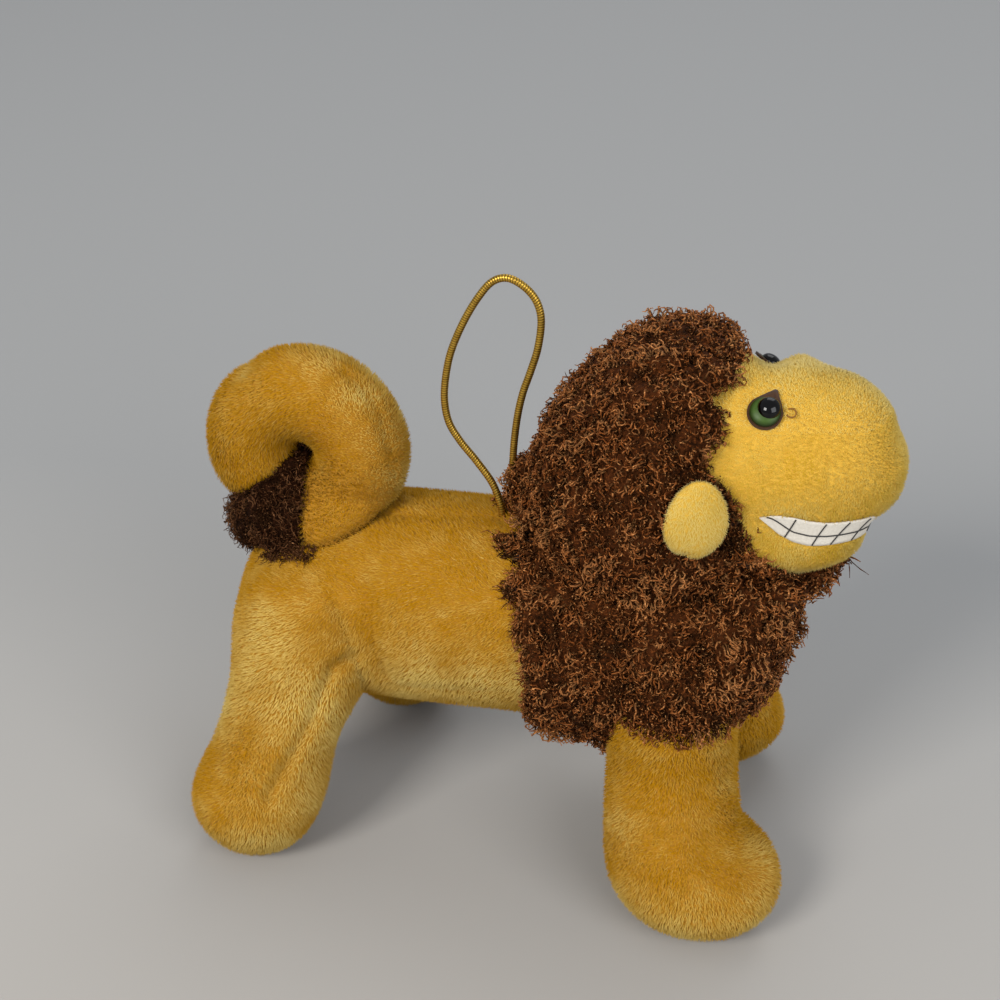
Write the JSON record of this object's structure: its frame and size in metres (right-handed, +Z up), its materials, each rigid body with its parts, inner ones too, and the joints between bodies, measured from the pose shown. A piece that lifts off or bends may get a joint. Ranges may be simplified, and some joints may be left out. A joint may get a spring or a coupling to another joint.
{
  "type": "plush lion",
  "caption": "Small stuffed plush lion standing on four legs, with a curly mane, curled tail with tuft, plastic eyes and a gold hanging cord.",
  "frame": {"origin": "on the floor, under the middle of the toy's box without the hanging cord", "axes": "+X towards the muzzle, +Y towards the toy's left side, +Z up"},
  "size_m": [0.1387, 0.0804, 0.1216],
  "materials": {
    "body_plush": "golden short-pile plush, brushed darker and paler in patches",
    "face_cloth": "pale yellow velvet with a very short pile",
    "mane_curls": "red-brown curly faux fur with lighter glints",
    "tuft_curls": "dark brown curly faux fur",
    "filling": "loose polyester fibre",
    "teeth_cloth": "smooth white cloth with printed dark lines",
    "eye_plastic": "clear glossy dome over a green iris and black pupil",
    "eye_felt": "thin brown felt",
    "washer_plastic": "plain moulded plastic",
    "gold_cord": "elastic cord wrapped with gold metallic thread"
  },
  "bodies": {
    "toy": {"torso_cover": "body_plush", "torso_stuffing": "filling", "chest_mane": "mane_curls", "head_mane": "mane_curls", "head_cover": "face_cloth", "head_stuffing": "filling", "chin": "face_cloth", "teeth_panel": "teeth_cloth", "right_eye": "eye_plastic", "left_eye": "eye_plastic", "right_eye_felt": "eye_felt", "left_eye_felt": "eye_felt", "right_eye_washer": "washer_plastic", "left_eye_washer": "washer_plastic", "right_front_leg": "body_plush", "left_front_leg": "body_plush", "right_hind_leg": "body_plush", "left_hind_leg": "body_plush", "tail": "body_plush", "tail_tuft": "tuft_curls", "hang_loop": "gold_cord", "cord_knot": "gold_cord"},
    "right_ear": {"right_ear": "face_cloth"},
    "left_ear": {"left_ear": "face_cloth"}
  },
  "joints": [
    {"name": "right_ear_hinge", "type": "hinge", "parent": "toy", "child": "right_ear", "pos_m": [0.0341, -0.0234, 0.0964], "axis": [-0.9136, -0.4067, 0], "range_deg": [0, 75]},
    {"name": "left_ear_hinge", "type": "hinge", "parent": "toy", "child": "left_ear", "pos_m": [0.0341, 0.0234, 0.0964], "axis": [0.9136, -0.4067, 0], "range_deg": [0, 75]}
  ]
}
